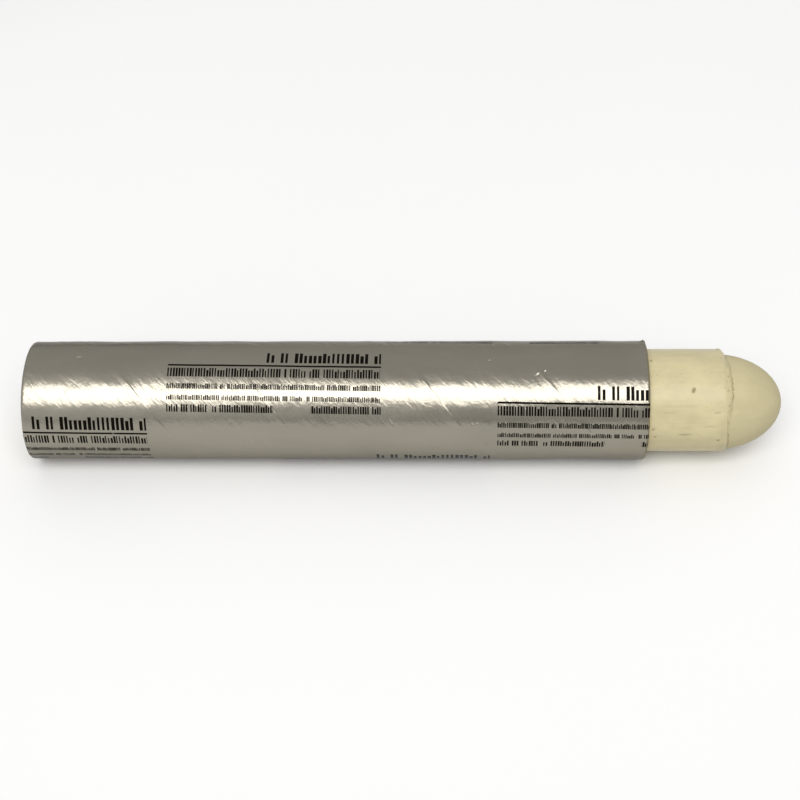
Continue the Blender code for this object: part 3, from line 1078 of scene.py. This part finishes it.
class CrayonBuildStick(bpy.types.Operator):
    """Cast the paint stick with its bullet nose, torn lip, pits and scuffs"""

    bl_idname = "crayon.build_stick"
    bl_label = "Paint Stick"

    # Pits: mm ahead of the front rim, degrees down from the front, length, width and depth in mm
    PITS = (
        (6.82, -9.6, 0.46, 0.62, 0.18), (6.98, -11.8, 0.44, 0.62, 0.20), (5.7, 42.5, 2.2, 0.42, 0.12),
        (11.1, 51.8, 0.46, 0.46, 0.20), (0.56, -50.0, 0.40, 0.55, 0.18),
        (0.75, 35.0, 0.50, 0.45, 0.15), (1.15, 46.0, 0.45, 0.50, 0.12),
        (10.6, 14.8, 1.3, 0.45, 0.07), (4.4, 7.6, 6.5, 0.30, 0.03),
        (9.6, 31.0, 2.2, 0.36, 0.05), (3.0, 14.3, 2.4, 0.30, 0.03),
        (3.4, 71.0, 0.5, 0.2, 0.10), (9.3, 118.0, 0.6, 0.4, 0.18),
        (4.1, -121.0, 0.9, 0.25, 0.15), (8.2, 170.0, 0.35, 0.6, 0.2),
        (-20.0, 15.0, 0.8, 0.3, 0.15), (-36.0, -60.0, 0.4, 0.5, 0.2), (-48.0, 95.0, 1.2, 0.25, 0.15),
        (11.6, -80.0, 0.7, 0.8, -0.16), (12.45, -29.0, 0.35, 0.40, 0.10), (12.35, -12.5, 0.50, 0.40, 0.09),
        (12.50, 5.0, 0.36, 0.40, 0.11), (11.75, -13.5, 0.40, 0.35, 0.06), (11.6, -54.0, 0.50, 0.50, 0.06),
        (12.0, -23.0, 0.55, 0.40, 0.03), (12.2, 23.0, 0.50, 0.35, 0.04), (11.9, 60.0, 0.45, 0.40, 0.06),
    )
    # Rings of the rear face, its round, the body in the sleeve, the bare body and the shoulder, all but
    # the first with the ring shared with the stretch before; and where inside the rim the bare body starts
    FACE_RINGS = 14
    ROUND_RINGS = 9
    HELD_RINGS = 44
    BARE_RINGS = 113
    SHOULDER_RINGS = 11
    BARE_BEHIND_RIM = 3 * MM
    POLE_RADIUS = 0.02 * MM
    # Rings of the film that the lip leaves on the nose, ahead of the crease
    FILM_RINGS = [place * MM for place in (0.0, 0.10, 0.26, 0.42, 0.58, 0.72, 0.81, 0.86)]
    # A length too small to matter when places are compared
    HAIR = 1e-7
    # The film is longest a little above the middle of the front, and tapers out over these turns
    FILM_ABOVE = math.radians(9)
    FILM_TURN_UP = math.radians(36)
    FILM_TURN_DOWN = math.radians(20)
    # The lip, the crease ahead of it, and how far behind and ahead of them the straying fades out
    LIP_LENGTH = 0.12 * MM
    CREASE_DEPTH = 0.07 * MM
    CREASE_WIDTH = 0.25 * MM
    FADE_BEHIND = 3 * MM
    FADE_AHEAD = 4.5 * MM
    # How finely the lip is ragged and the film is torn, in features to a radian
    RAGGED_FINENESS = 14.0
    TORN_FINENESS = 20.0
    # The tear along the lip, and the voids at the root of the film
    TEAR_REACH = 0.3 * MM
    TEAR_HEIGHT = 0.08 * MM
    ROOT_REACH = 0.05 * MM
    ROOT_DEPTH = 0.015 * MM
    VOID_DEPTH = 0.06 * MM
    # Where the stick is painted darker: painted shade in the crease, a painted shadow line at the film's
    # edge, and a darker patch behind the lip, which lies between two turns in degrees down from the front,
    # fades in and out over another, and is faint
    CREASE_SHADE = (-0.15 * MM, 0.7 * MM)
    EDGE_SHADOW = 0.06 * MM
    DARK_PATCH_BEHIND = 0.7 * MM
    DARK_PATCH_REACH = 1.0 * MM
    DARK_PATCH_TURNS = (8, 100)
    DARK_PATCH_FADE = 20
    DARK_PATCH_STRENGTH = 0.2
    # Waves of the cast skin, and where the dull nose starts and is at its dullest
    WAVE_SIZE = 2.5 * MM
    WAVE_HEIGHT = 0.012 * MM
    DULL_START = -0.1 * MM
    DULL_END = 0.8 * MM

    def execute(self, context):
        paint = context.scene.crayon_paint
        piece = add_tube("cast_stick", STICK_RADIUS, STICK_REAR, TIP, STICK_SIDES)
        cut_rings(piece, STICK_CUTS)
        self.draw_profile(piece, self.stations(paint))
        self.roughen(piece, paint)
        self.close_poles(piece)
        use_material(piece, paint_finish(paint))
        bpy.ops.object.shade_smooth()
        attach(piece, "stick")
        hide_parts("paint_stick")
        return {"FINISHED"}

    def nose_radius(self, along, paint):
        """Radius of the bullet nose at places along the stick."""
        share = (along - (TIP - paint.nose_half_length)) / paint.nose_half_length
        return (STICK_RADIUS - paint.nose_step) * np.sqrt(np.clip(1 - share ** 2, 0, 1))

    def stations(self, paint):
        """Along and radius of every ring, from the middle of the rear face to the tip."""
        body = STICK_RADIUS
        crease = TIP - paint.nose_length
        lip_radius = self.nose_radius(crease, paint) + paint.lip_height
        shoulder_start = crease - self.LIP_LENGTH - paint.shoulder_length
        bare_start = FRONT - self.BARE_BEHIND_RIM
        rings = []
        flat_edge = body - paint.rear_round
        for share in np.linspace(0, 1, self.FACE_RINGS):
            sink = paint.rear_dish * math.cos(share * math.pi / 2) ** 2
            rings.append((STICK_REAR + sink, max(share * flat_edge, self.POLE_RADIUS)))
        for turn in np.linspace(0, math.pi / 2, self.ROUND_RINGS)[1:]:
            rings.append((
                STICK_REAR + paint.rear_round * (1 - math.cos(turn)),
                flat_edge + paint.rear_round * math.sin(turn)))
        for place in np.linspace(STICK_REAR + paint.rear_round, bare_start, self.HELD_RINGS)[1:]:
            rings.append((place, body))
        for place in np.linspace(bare_start, shoulder_start, self.BARE_RINGS)[1:]:
            rings.append((place, body))
        # The shoulder falls away between a straight bevel and a round
        for share in np.linspace(0, 1, self.SHOULDER_RINGS)[1:]:
            fall = 0.5 * share + 0.5 * (1 - math.sqrt(1 - share ** 2))
            rings.append((
                shoulder_start + share * paint.shoulder_length, body - fall * (body - lip_radius)))
        for ahead in self.FILM_RINGS:
            rings.append((crease + ahead, self.nose_radius(crease + ahead, paint)))
        nose_centre = TIP - paint.nose_half_length
        first_turn = math.acos((rings[-1][0] - nose_centre) / paint.nose_half_length)
        for turn in np.linspace(first_turn, 0, STICK_RINGS + 1 - len(rings))[1:]:
            along = nose_centre + paint.nose_half_length * math.cos(turn)
            rings.append((along, max(self.nose_radius(along, paint), self.POLE_RADIUS)))
        return np.array(rings)

    def draw_profile(self, piece, stations):
        """Slide each ring of the tube to its place on the stick's profile."""
        along, angle, _ = to_polar(get_points(piece))
        ring = np.rint((along - STICK_REAR) / (TIP - STICK_REAR) * (len(stations) - 1)).astype(int)
        set_points(piece, from_polar(stations[ring, 0], angle, stations[ring, 1]))

    def film_share(self, turn):
        """How fully the torn film has run out over the nose, round the stick."""
        below = turn + self.FILM_ABOVE
        up = np.exp(-((below / self.FILM_TURN_UP) ** 2))
        down = np.exp(-(np.abs(below / self.FILM_TURN_DOWN) ** 1.6))
        return np.where(below < 0, up, down)

    def tear_lip(self, along, angle, radius, paint):
        """Let the lip stray along the stick, with a torn film over the nose; also where the stick is
        painted darker: painted shade in the crease and the film's voids, a painted shadow at the film's
        edge, and a darker patch behind the lip.
        """
        crease = TIP - paint.nose_length
        ahead = along - crease
        turn = wrap(angle - FRONT_ANGLE)
        around = np.stack([np.zeros(len(angle)), np.cos(angle), np.sin(angle)], axis=1)
        ragged = roughness_field(around * self.RAGGED_FINENESS, 4, 4)
        torn = roughness_field(around * self.TORN_FINENESS, 6, 3)
        film = self.film_share(turn)
        stray = paint.lip_tilt * np.sin(turn) - paint.lip_sway * np.cos(2 * turn)
        stray = stray + paint.lip_wander * ragged - paint.film_root * film
        film_length = self.CREASE_WIDTH + paint.film_length * film * (1 + 0.35 * torn)
        along = crease + self.stray_ahead(ahead, stray, film_length)
        # The nose starts in a crease ahead of the lip, and the lip is torn
        band = self.FILM_RINGS[-1]
        share = np.clip(ahead / band, 0, 1)
        creased = self.nose_radius(along, paint) - self.CREASE_DEPTH * (1 - share) ** 2
        radius = np.where((ahead > -self.HAIR) & (radius > self.POLE_RADIUS * 1.5), creased, radius)
        on_lip = np.exp(-(((ahead + self.LIP_LENGTH) / self.TEAR_REACH) ** 2))
        radius = radius + self.TEAR_HEIGHT * (torn - 0.2) * on_lip
        # Where the film runs out, the body runs on over the crease and falls away to the film's edge
        start = crease + stray - self.LIP_LENGTH - paint.shoulder_length
        edge = crease + stray + film_length
        edge_radius = self.nose_radius(edge, paint) + paint.film_height
        run = np.clip((along - start) / (edge - start), 0, 1)
        run_out = STICK_RADIUS - (STICK_RADIUS - edge_radius) * run ** 2
        voids = smoothstep((torn - 0.12) / 0.2)
        at_root = np.abs(ahead) < self.ROOT_REACH
        run_out = run_out - (self.ROOT_DEPTH + self.VOID_DEPTH * voids) * at_root
        filled = smoothstep(film / 0.5) * (along > start) * (ahead < band - self.HAIR)
        radius = radius + (run_out - radius) * filled
        # Painted shade in the crease and the voids, and a painted shadow line at the film's edge
        painted_shade = self.painted_lip_shade(ahead, turn, film, ragged, torn)
        return along, radius, np.clip(painted_shade + film * voids * at_root * 0.6, 0, 1)

    def stray_ahead(self, ahead, stray, film_length):
        """Where rings beside the lip come to lie, ahead of the crease, as the lip strays."""
        band = self.FILM_RINGS[-1]
        behind_lip = ahead + stray * smoothstep(1 + ahead / self.FADE_BEHIND)
        on_film = stray + ahead * film_length / band
        fade = 1 - smoothstep((ahead - band) / self.FADE_AHEAD)
        on_nose = ahead + (stray + film_length - band) * fade
        return np.where(ahead < -self.HAIR, behind_lip, np.where(ahead <= band, on_film, on_nose))

    def painted_lip_shade(self, ahead, turn, film, ragged, torn):
        """Painted shade along the bare crease, a painted shadow line at the film's edge, and a darker
        patch behind the lip low down.
        """
        bare = 1 - np.clip(2 * film, 0, 1)
        in_crease = (ahead > self.CREASE_SHADE[0]) & (ahead < self.CREASE_SHADE[1])
        painted_shade = np.clip(0.30 + 0.35 * ragged, 0.1, 0.5) * bare * in_crease
        at_edge = np.abs(ahead - self.FILM_RINGS[-1]) < self.EDGE_SHADOW
        painted_shade = painted_shade + film * np.clip(0.65 + 0.9 * torn, 0.1, 1.0) * at_edge
        # A faint darker patch behind the lip, low down on the stick
        first, last = self.DARK_PATCH_TURNS
        low = smoothstep((np.degrees(turn) - first) / self.DARK_PATCH_FADE)
        low = low * smoothstep((last - np.degrees(turn)) / self.DARK_PATCH_FADE)
        behind = np.exp(-(((ahead + self.DARK_PATCH_BEHIND) / self.DARK_PATCH_REACH) ** 2)) * (ahead < 0)
        return np.maximum(painted_shade, self.DARK_PATCH_STRENGTH * low * behind)

    def roughen(self, piece, paint):
        """Tear the lip, sink the pits, scuff the body, and set the nose a little low."""
        points = get_points(piece)
        along, angle, radius = to_polar(points)
        ahead = along - (TIP - paint.nose_length)
        along, radius, grime_and_shade = self.tear_lip(along, angle, radius, paint)
        sink = self.WAVE_HEIGHT * (roughness_field(points / self.WAVE_SIZE, 7, 3) + 1)
        for forward, turn, length, width, depth in self.PITS:
            run = (along - FRONT) / MM - forward
            sideways = wrap(angle - FRONT_ANGLE - math.radians(turn)) * STICK_RADIUS / MM
            pit = np.exp(-(((run / length * 2) ** 2 + (sideways / width * 2) ** 2) ** 1.5))
            sink += depth * MM * pit
            # Deeper pits are painted darker, as painted shade in the hollow
            grime_and_shade = np.maximum(grime_and_shade, min(0.9, 5 * depth) * smoothstep((pit - 0.2) / 0.6))
        radius = radius - sink * np.clip(radius / STICK_RADIUS, 0, 1)
        points = from_polar(along, angle, np.maximum(radius, 0))
        low = paint.nose_offset * smoothstep(1 + (ahead + self.LIP_LENGTH) / paint.shoulder_length)
        points[:, 1] += low * math.cos(DOWN_ANGLE)
        points[:, 2] += low * math.sin(DOWN_ANGLE)
        set_points(piece, points)
        # Keep where the stick is painted darker, as painted shade and painted shadow, for the material to
        # read
        keep_shares(piece, "grime_and_shade", grime_and_shade)
        dull = smoothstep((ahead - self.DULL_START) / (self.DULL_END - self.DULL_START))
        keep_shares(piece, "nose", dull)

    def close_poles(self, piece):
        """Draw the two open ends together into points."""
        bpy.ops.object.mode_set(mode="EDIT")
        for middle in (STICK_REAR, TIP):
            select_edges(
                piece,
                lambda edge: edge.is_boundary and abs(edge.verts[0].co.x - middle) < 2 * MM)
            bpy.ops.mesh.merge(type="CENTER")
        turn_outwards()


class CrayonPanel(bpy.types.Panel):
    """Lists the crayon's pieces and their sizes"""

    bl_idname = "VIEW3D_PT_crayon"
    bl_label = "Tire Marking Crayon"
    bl_space_type = "VIEW_3D"
    bl_region_type = "UI"
    bl_category = "Crayon"

    def draw(self, context):
        layout = self.layout
        for operator, groups in BUILD_ORDER.items():
            layout.operator(operator.bl_idname)
            box = layout.box()
            for group in groups:
                settings = getattr(context.scene, group)
                for name in GROUPS[group].__annotations__:
                    box.prop(settings, name)


GROUPS = {
    "crayon_camera": CrayonCamera,
    "crayon_stage": CrayonStage,
    "crayon_label": CrayonLabel,
    "crayon_plies": CrayonPlies,
    "crayon_paint": CrayonPaint,
}
# The operators in order, each with its own settings
BUILD_ORDER = {
    CrayonBuildStage: ("crayon_stage", "crayon_camera"),
    CrayonBuildPlies: ("crayon_plies",),
    CrayonBuildLabel: ("crayon_label",),
    CrayonBuildStick: ("crayon_paint",),
}


def register():
    """Register the settings, the operators and the panel."""
    for name, group in GROUPS.items():
        bpy.utils.register_class(group)
        setattr(bpy.types.Scene, name, bpy.props.PointerProperty(type=group))
    for operator in BUILD_ORDER:
        bpy.utils.register_class(operator)
    bpy.utils.register_class(CrayonPanel)


def unregister():
    """Take back what register added."""
    bpy.utils.unregister_class(CrayonPanel)
    for operator in reversed(BUILD_ORDER):
        bpy.utils.unregister_class(operator)
    for name, group in reversed(GROUPS.items()):
        delattr(bpy.types.Scene, name)
        bpy.utils.unregister_class(group)


def main():
    """Build the crayon and its stage."""
    register()
    bpy.ops.crayon.build_stage()
    bpy.ops.crayon.build_plies()
    bpy.ops.crayon.build_label()
    bpy.ops.crayon.build_stick()
    deselect_all()


if __name__ == "__main__":
    main()
